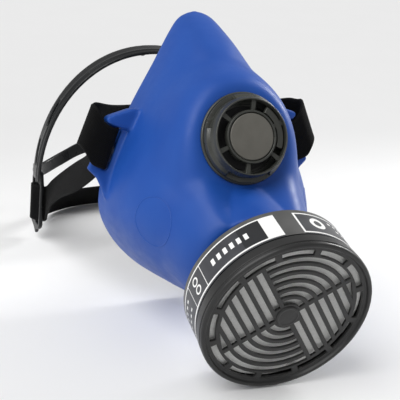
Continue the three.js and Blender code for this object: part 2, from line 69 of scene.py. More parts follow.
class Place:
    """A frame with its origin and axes in the row frame, for points in millimetres."""

    def __init__(self, origin, x_axis, y_axis, z_axis):
        self.origin = np.array(origin, float)
        self.axes = np.array([x_axis, y_axis, z_axis], float)

    def out(self, local):
        return self.origin + np.asarray(local, float) @ self.axes

    def back(self, points):
        return (np.asarray(points, float) - self.origin) @ self.axes.T

    def turn(self, direction):
        return np.asarray(direction, float) @ self.axes


JOINTS = {joint["name"]: joint for joint in frame["joints"]}
MOUNTS = {mount["name"]: mount for mount in frame["record"]["mounts"]}


def place_facing(pos_m, facing):
    """X stays the object's X, and Z looks along `facing`."""
    z_axis = np.array(facing, float)
    z_axis /= norm(z_axis)
    return Place(np.array(pos_m) / MM, X_AXIS, np.cross(z_axis, X_AXIS), z_axis)


PORT = place_facing(JOINTS["filter_turn"]["pos_m"], JOINTS["filter_turn"]["axis"])
VALVE = place_facing(JOINTS["valve_cover_turn"]["pos_m"], JOINTS["valve_cover_turn"]["axis"])

# The rim frame: X, then S up the rim from the chin, then D forward from the rim.
# The face_seal mount lies SEAL_S up from the chin.
SEAL_S = 6
RIM = place_facing(MOUNTS["face_seal"]["pos_m"], -np.array(MOUNTS["face_seal"]["axis"]))
RIM.origin = RIM.origin - SEAL_S * RIM.axes[1]

# The head frame has its origin inside the mask, level with the lower end of the nose.
CHIN = np.array([0, 4.3, -56.8])
HEAD = Place(RIM.origin - CHIN, X_AXIS, [0, 1, 0], [0, 0, 1])

LUG_LEAN = radians(20.5)
LUG_AT = (53.5, 86.3, 15)
LUG = Place(RIM.out(LUG_AT), RIM.turn([cos(LUG_LEAN), sin(LUG_LEAN), 0]),
            RIM.turn([-sin(LUG_LEAN), cos(LUG_LEAN), 0]), RIM.axes[2])

# ---- mesh tools


def in_scene(name, data):
    """A new object in the scene that shows a mesh, a curve, a lamp or a camera."""
    made = bpy.data.objects.new(name, data)
    bpy.context.scene.collection.objects.link(made)
    return made


def coordinates(mesh):
    return np.array([vertex.co for vertex in mesh.vertices])


def mesh_object(name, points, faces, uv=None):
    """An object from points in millimetres of the row frame; uv is one pair for each face corner."""
    mesh = bpy.data.meshes.new(name)
    mesh.from_pydata((np.asarray(points) * MM).tolist(), [], faces)
    if uv is not None:
        layer = mesh.uv_layers.new(name=UV_NAME)
        layer.data.foreach_set("uv", np.asarray(uv, np.float32).ravel())
    return in_scene(name, mesh)


def ring_faces(rings, around, closed=False):
    """Quads between rings of points; each ring closes on itself, and the last meets the first if closed."""
    return [[i * around + k, i * around + (k + 1) % around,
             (i + 1) % rings * around + (k + 1) % around, (i + 1) % rings * around + k]
            for i in range(rings if closed else rings - 1) for k in range(around)]


def faces_out(piece, merge=1e-7, fill=False):
    """Turns every face outward, once points within `merge` metres are one and any hole is filled."""
    edit = bmesh.new()
    edit.from_mesh(piece.data)
    if merge:
        bmesh.ops.remove_doubles(edit, verts=edit.verts, dist=merge)
    if fill:
        bmesh.ops.dissolve_degenerate(edit, edges=edit.edges, dist=merge / 2)
        bmesh.ops.holes_fill(edit, edges=edit.edges)
    bmesh.ops.recalc_face_normals(edit, faces=edit.faces)
    edit.to_mesh(piece.data)
    edit.free()
    return piece


def shown_mesh(piece):
    """The mesh of a piece with its modifiers, or of a filled curve."""
    graph = bpy.context.evaluated_depsgraph_get()
    return bpy.data.meshes.new_from_object(piece.evaluated_get(graph))


def applied(piece):
    """The piece with its modifiers made part of its mesh."""
    made = shown_mesh(piece)
    piece.modifiers.clear()
    piece.data = made
    return piece


def joined(name, pieces):
    """One object holding the meshes of all the pieces, in their order."""
    edit = bmesh.new()
    for piece in pieces:
        edit.from_mesh(piece.data)
    whole = in_scene(name, bpy.data.meshes.new(name))
    edit.to_mesh(whole.data)
    edit.free()
    for piece in pieces:
        bpy.data.objects.remove(piece)
    return whole


def boolean(piece, others, operation):
    """The piece joined with, or cut by, the others one by one; they are used up."""
    for other in others:
        step = piece.modifiers.new("cut", "BOOLEAN")
        step.operation = operation
        step.solver = "MANIFOLD"
        step.object = other
        applied(piece)
        bpy.data.objects.remove(other)
    return piece


def moulded(piece, voxel, rounds):
    """Melts solids into one skin of that voxel size, and smooths it so that it has small fillets."""
    melt = piece.modifiers.new("melt", "REMESH")
    melt.mode = "VOXEL"
    melt.voxel_size = voxel * MM
    ease = piece.modifiers.new("ease", "SMOOTH")
    ease.factor = 0.5
    ease.iterations = rounds
    return applied(piece)


def smooth(piece):
    """Smooth shading whose normals follow the larger faces, so flats stay flat."""
    piece.data.polygons.foreach_set("use_smooth", [True] * len(piece.data.polygons))
    even = piece.modifiers.new("normals", "WEIGHTED_NORMAL")
    even.weight = 80
    return applied(piece)


def oblong(left, right, low, high):
    return [(left, low), (right, low), (right, high), (left, high)]


def quadratic(start, control, end, steps):
    """Points after the start, on the curve that leaves it towards the control point."""
    start, control, end = (np.array(point, float) for point in (start, control, end))
    return [(1 - t) ** 2 * start + 2 * t * (1 - t) * control + t * t * end
            for t in (i / steps for i in range(1, steps + 1))]


CORNER_STEPS = 3


def rounded(outline, radius, closed=True):
    """The outline with each corner eased into a small arc; corners on the axis stay."""
    corners = [np.array(corner, float) for corner in outline]
    count = len(corners)
    made = []
    for i, corner in enumerate(corners):
        at_end = not closed and i in (0, count - 1)
        if at_end or (not closed and corner[0] == 0):
            made.append(corner)
            continue
        to_last = corners[i - 1] - corner
        to_next = corners[(i + 1) % count] - corner
        room = 0.45 * min(norm(to_last), norm(to_next))
        reach = min(radius, room)
        first = corner + to_last / norm(to_last) * reach
        last = corner + to_next / norm(to_next) * reach
        made += [first] + quadratic(first, corner, last, CORNER_STEPS)
    return made


def lathe(name, place, outline, radius=0.25, sides=128):
    """A solid turned about the place's Z; its uv is degrees round the axis and height in millimetres."""
    closed = all(r > 0 for r, _ in outline)
    ring = rounded(outline, radius, closed)
    angles = np.arange(sides) * 2 * pi / sides
    points, first = [], []
    for r, z in ring:
        first.append(len(points))
        turn = angles[:1] if r == 0 else angles
        points += [(r * cos(a), r * sin(a), z) for a in turn]
    faces, uv = [], []
    step_deg = 360 / sides
    for i in range(len(ring) if closed else len(ring) - 1):
        j = (i + 1) % len(ring)
        for k in range(sides):
            low = [(i, k), (i, k + 1)] if ring[i][0] > 0 else [(i, k)]
            high = [(j, k + 1), (j, k)] if ring[j][0] > 0 else [(j, k)]
            corners = low + high
            if len(corners) < 3:
                continue
            faces.append([first[row] + (col % sides if ring[row][0] > 0 else 0) for row, col in corners])
            uv += [(col * step_deg, ring[row][1]) for row, col in corners]
    return faces_out(mesh_object(name, place.out(points), faces, uv), merge=0)


def disc_ring(name, place, inner, outer, low, high, radius=0.25):
    return lathe(name, place, oblong(inner, outer, low, high), radius)


def tool_disc(name, place, radius, low, high):
    """A sharp-edged disc, to join on or to cut with."""
    return disc_ring(name, place, 0, radius, low, high, 0)


def plate(name, place, outlines, low, high, bevel):
    """A flat plate from an outline and the outlines of its holes, with eased edges."""
    curve = bpy.data.curves.new(name, "CURVE")
    curve.dimensions = "2D"
    curve.fill_mode = "BOTH"
    curve.extrude = (high - low) / 2 - bevel
    curve.bevel_depth = bevel
    curve.bevel_resolution = 1
    curve.offset = -bevel
    for outline in outlines:
        line = curve.splines.new("POLY")
        line.points.add(len(outline) - 1)
        for point, (x, y) in zip(line.points, outline):
            point.co = (x, y, 0, 1)
        line.use_cyclic_u = True
    source = in_scene(name, curve)
    flat = shown_mesh(source)
    bpy.data.objects.remove(source)
    points = coordinates(flat)
    points[:, 2] += (low + high) / 2
    faces = [list(polygon.vertices) for polygon in flat.polygons]
    return faces_out(mesh_object(name, place.out(points), faces))


ARC_STEP_DEG = 3


def arc(radius, start, end):
    """Points from one angle to another, in degrees, about the origin."""
    count = max(int(abs(end - start) / ARC_STEP_DEG), 2)
    angles = [radians(start + (end - start) * i / count) for i in range(count + 1)]
    return [(radius * cos(a), radius * sin(a)) for a in angles]


def circle(radius):
    return arc(radius, 0, 360 - ARC_STEP_DEG)


def sector(inner, outer, start, end):
    return arc(outer, start, end) + arc(inner, end, start)


def mirror(piece):
    """The same piece on the other side of the object."""
    twin = in_scene(piece.name, piece.data.copy())
    points = coordinates(twin.data)
    points[:, 0] *= -1
    twin.data.vertices.foreach_set("co", points.ravel())
    twin.data.flip_normals()
    return twin


# ---- curves and bands


def smooth_line(rows, between):
    """A Catmull-Rom line through rows of numbers, with `between` steps from each row to the next."""
    rows = np.array(rows, float)
    padded = np.vstack([2 * rows[0] - rows[1], rows, 2 * rows[-1] - rows[-2]])
    made = []
    for i in range(1, len(padded) - 2):
        before, start, end, after = padded[i - 1:i + 3]
        for k in range(between):
            t = k / between
            made.append(start + 0.5 * t * (end - before
                        + t * (2 * before - 5 * start + 4 * end - after
                               + t * (3 * (start - end) + after - before))))
    made.append(rows[-1])
    return np.array(made)


def lengths(line):
    """How far along the line each of its points is."""
    return np.concatenate([[0], np.cumsum(norm(np.diff(line, axis=0), axis=1))])


def both_ways(rows):
    """Rows from the right side to the middle, carried on to the left side; band() says what a row holds."""
    left = rows[-2::-1] * np.array([-1, 1, 1, -1, 1, 1])
    return np.vstack([rows, left])


def band(name, place, rows, section):
    """A closed band along rows of a point and the direction across the band, three numbers each.

    The section is a loop of [along the width, through the thickness].
    """
    at, across = rows[:, :3], rows[:, 3:]
    across = across / norm(across, axis=1, keepdims=True)
    along = np.gradient(at, axis=0)
    thick = np.cross(along, across)
    thick /= norm(thick, axis=1, keepdims=True)
    length = lengths(at)
    section = np.array(section, float)
    rings = at[:, None] + section[None, :, :1] * across[:, None] + section[None, :, 1:] * thick[:, None]
    count, wide = len(rows), len(section)
    faces = ring_faces(count, wide) + [[i * wide + k for k in range(wide)] for i in (0, count - 1)]
    uv = [(section[corner % wide][0], length[corner // wide]) for face in faces for corner in face]
    return faces_out(mesh_object(name, place.out(rings.reshape(-1, 3)), faces, uv), merge=0)


WEB = {"wide": 23.6, "thick": 1.5, "wales": 16, "wale_rise": 0.04, "selvedge": 1.3, "edge_round": 0.7,
       "field_ease": 0.6, "edge_least": 0.25, "steps_per_wale": 4}


def web_section():
    """Elastic webbing: round edges, a full selvedge and shallow ribs that run along the band."""
    half = WEB["wide"] / 2
    count = WEB["wales"] * WEB["steps_per_wale"]
    top = []
    for i in range(count + 1):
        a = -half + WEB["wide"] * i / count
        from_edge = half - abs(a)
        share = min(from_edge / WEB["edge_round"], 1)
        edge = max(sqrt(share * (2 - share)), WEB["edge_least"])
        in_field = min(max((from_edge - WEB["selvedge"]) / WEB["field_ease"], 0), 1)
        rib = 0.5 - 0.5 * cos(2 * pi * WEB["wales"] * i / count)
        top.append((a, (WEB["thick"] / 2 - in_field * WEB["wale_rise"] * (1 - rib)) * edge))
    return top + [(a, -b) for a, b in reversed(top)]


# ---- finishes


def tone(red, green, blue):
    """A colour from its display values, 0 to 255."""
    def linear(value):
        share = value / 255
        return share / 12.92 if share <= 0.04045 else ((share + 0.055) / 1.055) ** 2.4
    return (linear(red), linear(green), linear(blue), 1)


class Finish:
    """A material under construction: a principled shader and the nodes that feed it."""

    def __init__(self, name, specular=0.5):
        self.material = bpy.data.materials.new(name)
        self.material.use_nodes = True
        self.tree = self.material.node_tree
        self.shader = self.tree.nodes["Principled BSDF"]
        self.set(specular=specular)
        self.place = self.node("ShaderNodeTexCoord").outputs["Object"]
        self.height = None

    def set(self, **values):
        names = {"specular": "Specular IOR Level", "sheen": "Sheen Weight",
                 "sheen_roughness": "Sheen Roughness", "subsurface": "Subsurface Weight",
                 "subsurface_scale": "Subsurface Scale"}
        for key, value in values.items():
            self.shader.inputs[names[key]].default_value = value

    def node(self, kind, inputs=None, **settings):
        made = self.tree.nodes.new(kind)
        for key, value in settings.items():
            setattr(made, key, value)
        for key, value in (inputs or {}).items():
            self.feed(made.inputs[key], value)
        return made

    def feed(self, socket, value):
        if isinstance(value, bpy.types.NodeSocket):
            self.tree.links.new(value, socket)
        else:
            socket.default_value = value

    def math(self, operation, first, second=0.0):
        return self.node("ShaderNodeMath", {0: first, 1: second}, operation=operation).outputs[0]

    def times(self, first, second):
        return self.math("MULTIPLY", first, second)

    def noise(self, size_mm, detail=3.0, vector=None, rough=0.55):
        """Noise from 0 to 1 with features of about that size."""
        made = self.node("ShaderNodeTexNoise", {"Scale": 1 / (size_mm * MM), "Detail": detail,
                                                "Roughness": rough, "Vector": vector or self.place})
        return made.outputs["Fac"]

    def stretched(self, x, y, z):
        return self.node("ShaderNodeMapping", {"Vector": self.place, "Scale": (x, y, z)}).outputs["Vector"]

    def flat_place(self):
        """The two numbers of the piece's own uv."""
        uv = self.node("ShaderNodeUVMap", uv_map=UV_NAME).outputs["UV"]
        split = self.node("ShaderNodeSeparateXYZ", {"Vector": uv})
        return split.outputs["X"], split.outputs["Y"]

    def levels(self, value, low, high, to_low=0.0, to_high=1.0):
        """The value's range from low to high, spread over another range."""
        made = self.node("ShaderNodeMapRange", {"Value": value, "From Min": low, "From Max": high,
                                                "To Min": to_low, "To Max": to_high})
        return made.outputs["Result"]

    def mix(self, share, first, second):
        made = self.node("ShaderNodeMix", data_type="RGBA")
        self.feed(made.inputs["Factor"], share)
        self.feed(made.inputs["A"], first)
        self.feed(made.inputs["B"], second)
        return made.outputs["Result"]

    def edges(self):
        """One along convex edges, where handling polishes and lightens a moulding."""
        return self.levels(self.node("ShaderNodeNewGeometry").outputs["Pointiness"], 0.52, 0.62)

    def bump(self, height, rise_mm):
        inputs = {"Height": height, "Distance": rise_mm * MM, "Strength": 1.0}
        if self.height is not None:
            inputs["Normal"] = self.height
        self.height = self.node("ShaderNodeBump", inputs).outputs["Normal"]
        self.feed(self.shader.inputs["Normal"], self.height)

    def colour(self, value):
        self.feed(self.shader.inputs["Base Color"], value)

    def roughness(self, value):
        self.feed(self.shader.inputs["Roughness"], value)


def moulding(name, base, light, grain_mm, grain_rise, rough, specular=0.5, wear=0.5):
    """Moulded plastic or rubber: eroded grain, faint flow marks, scuffs and polished edges."""
    made = Finish(name, specular)
    grain = made.noise(grain_mm, 2)
    flow = made.noise(18, 3, made.stretched(1, 1, 0.35))
    scuffs = made.levels(made.noise(0.9, 4, made.stretched(1, 0.12, 1)), 0.62, 0.74)
    worn = made.times(made.edges(), wear)
    mottled = made.mix(made.levels(flow, 0.3, 0.7, 0.0, 0.35), base, light)
    speckled = made.mix(made.times(grain, 0.12), mottled, light)
    made.colour(made.mix(worn, speckled, light))
    spread = made.levels(made.noise(6, 4), 0.3, 0.7, rough - 0.05, rough + 0.06)
    made.roughness(made.math("SUBTRACT", spread, made.times(scuffs, 0.06)))
    made.bump(made.noise(9, 2), 0.05)
    made.bump(grain, grain_rise)
    made.bump(scuffs, 0.01)
    return made


KNIT = {"pitch": 0.9, "sway": 0.25, "sway_pitch": 1.8, "selvedge": (10.2, 10.7)}


def webbing_finish():
    """Knitted elastic: rows and wales of stitches, a paler selvedge and patches, and some lint."""
    made = Finish("elastic_webbing", specular=0.08)
    wide, long = made.flat_place()

    def wave(value, pitch_mm):
        turns = made.times(value, 2 * pi / pitch_mm)
        return made.levels(made.math("SINE", turns), -1, 1)

    shift = made.times(made.math("SINE", made.times(wide, 2 * pi / KNIT["sway_pitch"])), KNIT["sway"])
    picks = wave(made.math("ADD", long, shift), KNIT["pitch"])
    wales = wave(wide, KNIT["pitch"])
    knit = made.times(picks, wales)
    selvedge = made.levels(made.math("ABSOLUTE", wide), *KNIT["selvedge"])
    fuzz = made.noise(0.25, 3)
    patchy = made.levels(made.noise(14, 3), 0.35, 0.7)
    base = made.mix(knit, (0.002, 0.002, 0.0022, 1), (0.007, 0.007, 0.0074, 1))
    base = made.mix(made.times(patchy, 0.3), base, (0.009, 0.009, 0.0095, 1))
    base = made.mix(made.times(selvedge, 0.5), base, (0.009, 0.009, 0.0093, 1))
    lint = made.levels(made.noise(0.5, 2), 0.72, 0.76)
    made.colour(made.mix(made.times(lint, 0.5), base, (0.06, 0.06, 0.06, 1)))
    made.roughness(made.levels(fuzz, 0, 1, 0.72, 0.95))
    made.set(sheen=0.02, sheen_roughness=0.5)
    made.bump(picks, 0.09)
    made.bump(knit, 0.12)
    made.bump(fuzz, 0.05)
    return made


# The label's print: angles in degrees round the port's axis, and heights in millimetres along it. The dark span is
# not print: it is a painted dark reflection on the film.
LABEL = {"rear_line": (15.6, 16.4), "front_line": (31.0, 32.0), "gap": (87, 100), "dark": (110, 126),
         "radius": 44.3, "dash_pitch": 5.2, "dash": (0.2, 0.72)}
LABEL_LINES = [(110, 330), (34, 87)]
LABEL_BARS = [(100, 110.5), (85.6, 87), (158.5, 159), (176, 176.5), (229, 229.5), (329, 330), (34, 35.2)]
LABEL_DASHES = [(118.9, 150.8, 21.4, 25.4), (38, 62, 18.6, 20.2), (38, 56, 23, 24.4),
                (182, 224, 19, 20.4), (182, 218, 25, 26.2), (236, 300, 21, 22.4)]
LABEL_ROUNDS = [(72, 23.2, 2.2, 4.4), (167.5, 20.6, 1.6, 2.5), (167.5, 26.2, 1.6, 2.5)]


def label_finish():
    """A printed wrap: pale lines, bars, dashes and rings on dark film, with a plain grey gap and edge, and a
    painted dark reflection across one span of the film.
    """
    made = Finish("printed_label", specular=0.5)
    angle, height = made.flat_place()

    def between(value, low, high):
        over = made.math("GREATER_THAN", value, low)
        return made.times(over, made.math("LESS_THAN", value, high))

    def box(from_deg, to_deg, low, high):
        return made.times(between(angle, from_deg, to_deg), between(height, low, high))

    def round_mark(at_deg, at_height, inner, outer):
        across = made.times(made.math("SUBTRACT", angle, at_deg), radians(LABEL["radius"]))
        up = made.math("SUBTRACT", height, at_height)
        squares = made.math("ADD", made.times(across, across), made.times(up, up))
        return between(made.math("SQRT", squares), inner, outer)

    rear, front = LABEL["rear_line"][0], LABEL["front_line"][1]
    dashes = between(made.math("FRACT", made.math("DIVIDE", angle, LABEL["dash_pitch"])), *LABEL["dash"])
    shapes = [box(*span, *LABEL[line]) for span in LABEL_LINES for line in ("rear_line", "front_line")]
    shapes += [box(*span, rear, front) for span in LABEL_BARS]
    shapes += [made.times(dashes, box(*row)) for row in LABEL_DASHES]
    shapes += [round_mark(*mark) for mark in LABEL_ROUNDS]
    marks = shapes[0]
    for shape in shapes[1:]:
        marks = made.math("MAXIMUM", marks, shape)
    worn = made.levels(made.noise(0.8, 4), 0.66, 0.72)
    ink = made.times(marks, made.math("SUBTRACT", 1.0, made.times(worn, 0.35)))
    cloud = made.levels(made.noise(10, 3), 0.3, 0.7)
    film = made.mix(cloud, tone(50, 51, 55), tone(66, 67, 71))
    # Painted dark reflection: the film is made darker over the dark span.
    film = made.mix(box(*LABEL["dark"], rear, front), film, tone(30, 31, 34))
    plain = made.math("MAXIMUM", box(*LABEL["gap"], 0, 50), made.math("LESS_THAN", height, rear))
    film = made.mix(plain, film, made.mix(cloud, tone(72, 72, 71), tone(88, 88, 87)))
    made.colour(made.mix(ink, film, tone(240, 240, 238)))
    made.roughness(made.levels(made.noise(5, 3), 0.3, 0.7, 0.33, 0.45))
    made.bump(made.noise(4, 2), 0.02)
    made.bump(ink, 0.02)
    made.bump(made.noise(0.3, 2), 0.008)
    return made


def felt_finish(name, dark, light, fibre_mm):
    """Non-woven fibre: crossed strands and clumps."""
    made = Finish(name, specular=0.1)
    one = made.noise(fibre_mm, 5, made.stretched(1, 1, 0.15), 0.7)
    other = made.noise(fibre_mm, 5, made.stretched(0.15, 1, 1), 0.7)
    strands = made.math("MAXIMUM", one, other)
    clumps = made.noise(fibre_mm * 9, 3)
    share = made.times(made.levels(strands, 0.35, 0.75), made.levels(clumps, 0.1, 0.6, 0.55, 1))
    made.colour(made.mix(share, dark, light))
    made.roughness(made.levels(strands, 0.3, 0.8, 0.98, 0.85))
    made.set(sheen=0.2, sheen_roughness=0.6)
    made.bump(strands, 0.12)
    made.bump(clumps, 0.2)
    return made


def carbon_finish():
    """Packed granules of charcoal."""
    made = Finish("carbon_granules", specular=0.35)
    cells = made.node("ShaderNodeTexVoronoi", {"Scale": 1 / (1.1 * MM), "Vector": made.place})
    shade = made.levels(cells.outputs["Distance"], 0.0, 0.8)
    made.colour(made.mix(shade, (0.02, 0.02, 0.021, 1), (0.004, 0.004, 0.004, 1)))
    made.roughness(made.levels(made.noise(0.4, 3), 0.3, 0.7, 0.6, 0.95))
    made.bump(made.math("SUBTRACT", 1.0, shade), 0.5)
    made.bump(made.noise(0.2, 3), 0.06)
    return made


def silicone_finish():
    """Valve rubber that lets light a little way in."""
    made = moulding("valve_silicone", tone(190, 184, 165), tone(214, 209, 195), 0.35, 0.01, 0.42)
    made.set(subsurface=0.35, subsurface_scale=1.5 * MM)
    return made


def badge_finish():
    """A plain moulded plate with fine grain and a faint cloudiness."""
    made = Finish("badge_plate", specular=0.4)
    grain = made.noise(0.3, 2)
    cloud = made.noise(7, 3)
    base = made.mix(made.levels(cloud, 0.3, 0.7), tone(86, 84, 78), tone(94, 92, 86))
    made.colour(made.mix(made.times(grain, 0.15), base, tone(108, 106, 100)))
    made.roughness(made.levels(grain, 0.2, 0.8, 0.48, 0.6))
    made.bump(grain, 0.012)
    made.bump(made.noise(3, 2), 0.02)
    return made


def facepiece_finish():
    """Blue elastomer: satin skin, very fine grain and paler handled edges."""
    made = moulding("blue_elastomer", tone(21, 69, 152), tone(32, 83, 166), 0.45, 0.012, 0.46, 0.3, 0.3)
    made.set(sheen=0.02, sheen_roughness=0.4)
    return made


FINISHES = {
    "facepiece": facepiece_finish(),
    "black_plastic": moulding("black_nylon", tone(32, 32, 33), tone(52, 52, 53), 0.4, 0.02, 0.4, 0.35),
    "graphite_plastic": moulding("graphite_nylon", tone(35, 35, 35), tone(54, 54, 54), 0.35, 0.02, 0.34,
                                 0.36),
    "badge": badge_finish(),
    "webbing": webbing_finish(),
    "seal_rubber": moulding("seal_rubber", tone(32, 32, 33), tone(52, 52, 54), 0.3, 0.015, 0.6, 0.4),
    "silicone": silicone_finish(),
    "filter_media": felt_finish("fibre_media", tone(226, 226, 224), tone(252, 252, 250), 0.5),
    "carbon": carbon_finish(),
    "label": label_finish(),
}
VALVE_PLASTIC = moulding("valve_nylon", tone(44, 45, 42), tone(72, 74, 68), 0.35, 0.02, 0.3, 0.5)
CRADLE_PLASTIC = moulding("cradle_rubber", tone(18, 19, 20), tone(38, 40, 42), 0.5, 0.012, 0.28, 0.28)


def paint(piece, slot, finish=None):
    piece.data.materials.clear()
    piece.data.materials.append((finish or FINISHES[slot]).material)


def dress(piece, body, slot, node, finish=None):
    """Gives a finished piece its material and the body it rides on, and hides the CAD node it stands for."""
    paint(piece, slot, finish)
    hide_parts(node)
    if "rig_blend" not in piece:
        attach(piece, body)
    return piece


# ---- facepiece

RIM_OUTLINE = [(0, 0), (3, 9), (10, 21), (20, 36), (34, 49), (51, 56.5), (70, 54.5), (90, 47), (110, 37.5),
               (132, 25), (150, 15), (158, 9), (162, 0)]
KEEL_OUTLINE = [(0, 0), (2, 22), (6, 52), (12, 75), (22, 86), (40, 89), (58, 87.5), (74, 82.5), (97, 74),
                (114, 69.5), (123, 63), (132, 51.5), (143, 37.5), (152, 22), (158, 10), (162, 0)]
SECTION_POWER = 2.3
WALL = 2.8
RIM_ROUND = 3.0
CUP_CENTRE = 72
CUP_HALF = np.array([56.5, 90, 89])
CUP_ROWS = 200
CUP_COLUMNS = 180
CURVE_STEPS = 40
LIP = {"wide": 12, "thick": 2.4, "curl": 3.5, "centre": 76, "curl_from": 3, "curl_below": 3.9}
PORT_FIT = {"flat": 28, "blend": 16, "face": -3.3, "bore": 23.9, "nut": 26, "deep": 25}
VALVE_FIT = {"flat": 25, "blend": 20, "face": 0, "bore": 21.6, "nut": 23.2, "deep": 9}
EASE_DEPTH = {"from": 20, "over": 20}
VALVE_GUARD = 15
FIT_CUT = {"bore_back": 16, "bore_front": 4, "seat_front": 12, "margin": 1}
SKIN = {"voxel": 0.9, "rounds": 8}
CHEEK = {"at": (44.8, 53.3, 59.6), "radius": 13.2, "wire": 0.42, "sunk": 0.2, "steps": 120, "around": 10,
         "seen_from": 12}


def spaced(line, count):
    """Points at even distances along a line of points."""
    length = lengths(line)
    wanted = np.linspace(0, length[-1], count)
    return np.column_stack([np.interp(wanted, length, column) for column in line.T])


def eased(share):
    """Zero below 0, one above 1, and a smooth step between."""
    kept = np.clip(share, 0, 1)
    return kept * kept * (3 - 2 * kept)


def eased_to_flat(points, place, fit, wall, hold=1):
    """Cup points moved onto the flat round a fitting, and less with distance from its axis."""
    local = place.back(points)
    target = fit["face"] - wall
    away = eased((np.hypot(local[:, 0], local[:, 1]) - fit["flat"]) / fit["blend"])
    deep = eased((np.abs(local[:, 2] - target) - EASE_DEPTH["from"]) / EASE_DEPTH["over"])
    local[:, 2] = target + (local[:, 2] - target) * (1 - hold * (1 - away) * (1 - deep))
    return place.out(local)


def off_valve(points):
    """Zero on the valve's flat, growing to one where the port's flat may take hold."""
    beside = VALVE.back(points)
    return eased((np.hypot(beside[:, 0], beside[:, 1]) - VALVE_FIT["flat"]) / VALVE_GUARD)


def cup(name, wall, back_depth):
    """The cup's skin, closed by a flat at the rim; a wall thickness shrinks it towards the inside."""
    rim = smooth_line(RIM_OUTLINE, CURVE_STEPS)
    keel = spaced(smooth_line(KEEL_OUTLINE, CURVE_STEPS), CUP_ROWS + 1)
    half = np.interp(keel[:, 0], rim[:, 0], rim[:, 1])
    angle = pi * (0.5 - 0.5 * np.cos(pi * np.arange(CUP_COLUMNS + 1) / CUP_COLUMNS))
    c, n = np.cos(angle), np.clip(np.sin(angle), 0, 1)
    x = half[:, None] * (np.sign(c) * np.abs(c) ** (2 / SECTION_POWER))[None]
    d = keel[:, 1:] * (n ** (2 / SECTION_POWER))[None]
    s = np.broadcast_to(keel[:, :1], x.shape)
    local = np.stack([x, s, d], axis=-1).reshape(-1, 3)
    shrink = 1 - np.array([wall, wall, wall + back_depth]) / CUP_HALF
    local = (local - [0, CUP_CENTRE, 0]) * shrink + [0, CUP_CENTRE, back_depth]
    if wall == 0:
        low = np.clip(RIM_ROUND - local[:, 2], 0, RIM_ROUND)
        inset = RIM_ROUND - np.sqrt(RIM_ROUND ** 2 - low ** 2)
        away = np.hypot(local[:, 0], local[:, 1] - LIP["centre"])
        kept = 1 - inset / np.maximum(away, 1)
        local[:, 0] *= kept
        local[:, 1] = LIP["centre"] + (local[:, 1] - LIP["centre"]) * kept
    points = eased_to_flat(RIM.out(local), VALVE, VALVE_FIT, wall)
    points = eased_to_flat(points, PORT, PORT_FIT, wall, off_valve(points))
    faces = ring_faces(CUP_ROWS + 1, CUP_COLUMNS + 1)
    return faces_out(mesh_object(name, points, faces), merge=2e-6, fill=True)


def face_opening():
    """The opening for the face, inside the turned-in lip."""
    right = spaced(smooth_line(RIM_OUTLINE, 20), 60)
    away = np.column_stack([right[:, 1], right[:, 0] - LIP["centre"]])
    length = norm(away, axis=1, keepdims=True)
    inset = away / length * np.maximum(length - LIP["wide"], 1)
    outline = [(x, y + LIP["centre"]) for x, y in inset]
    outline += [(-x, y) for x, y in outline[-2:0:-1]]
    return plate("opening", RIM, [outline], -6, 5, 0.01)


LUG_PLATE = [(-14, 24), (-2, 24), (9, 15), (9.6, 13.8), (8.8, 12.6), (8.6, 0), (8.8, -13), (9.6, -14.2),
             (6.5, -15.6), (2.2, -17.6), (-2.6, -22.4), (-6, -27), (-14, -26)]
LUG_FINGER = [(-14, 27), (-2, 24.5), (8.5, 16.6), (9.6, 14.8), (8.8, 12.9), (5, 12.7), (-14, 13.4)]
LUG_SLOT = oblong(-1.9, 1.9, -11.8, 12.4)
LUG_HALF = 1.6
FINGER_DEPTH = (-2.6, 5.5)


def lug_parts():
    """The plate with the bar that the band goes round, and the deeper finger above it."""
    outlines = [rounded(LUG_PLATE, 0.8), rounded(LUG_SLOT, 0.8)]
    base = plate("lug_plate", LUG, outlines, -LUG_HALF, LUG_HALF, 0.5)
    finger = plate("lug_finger", LUG, [rounded(LUG_FINGER, 1.0)], *FINGER_DEPTH, 0.6)
    return [base, finger, mirror(base), mirror(finger)]


def curl_lip(piece):
    """Turns the inner edge of the lip forward into the cup, as a soft seal lies."""
    local = RIM.back(coordinates(piece.data) / MM)
    away = np.column_stack([local[:, 0], local[:, 1] - LIP["centre"]])
    angle = np.arctan2(away[:, 0], away[:, 1])
    rim = smooth_line(RIM_OUTLINE, CURVE_STEPS)
    rim_away = np.column_stack([rim[:, 1], rim[:, 0] - LIP["centre"]])
    rim_angle = np.arctan2(rim_away[:, 0], rim_away[:, 1])
    order = np.argsort(rim_angle)
    edge = np.interp(np.abs(angle), rim_angle[order], norm(rim_away, axis=1)[order])
    inward = edge - norm(away, axis=1)
    share = np.clip((inward - LIP["curl_from"]) / (LIP["wide"] - LIP["curl_from"]), 0, 1)
    local[:, 2] += LIP["curl"] * share ** 2 * (local[:, 2] < LIP["curl_below"])
    piece.data.vertices.foreach_set("co", (RIM.out(local) * MM).ravel())
    piece.data.update()


def cheek_mark(surface, side):
    """A fine raised ring on the cheek, laid on the skin."""
    x, y, z = CHEEK["at"]
    spot, normal, _, _ = surface.find_nearest(Vector(RIM.out([side * x, y, z]) * MM))
    normal = np.array(normal)
    first = np.cross(normal, [0, 0, 1])
    first /= norm(first)
    second = np.cross(normal, first)
    points = []
    for a in np.arange(CHEEK["steps"]) * 2 * pi / CHEEK["steps"]:
        out = cos(a) * first + sin(a) * second
        start = np.array(spot) / MM + CHEEK["radius"] * out + CHEEK["seen_from"] * normal
        hit, skin_normal, _, _ = surface.ray_cast(Vector(start * MM), Vector(-normal))
        at, up = np.array(hit) / MM, np.array(skin_normal)
        for b in np.arange(CHEEK["around"]) * 2 * pi / CHEEK["around"]:
            points.append(at - CHEEK["sunk"] * up + CHEEK["wire"] * (cos(b) * out + sin(b) * up))
    return faces_out(mesh_object("cheek_ring", points, ring_faces(CHEEK["steps"], CHEEK["around"], True)))


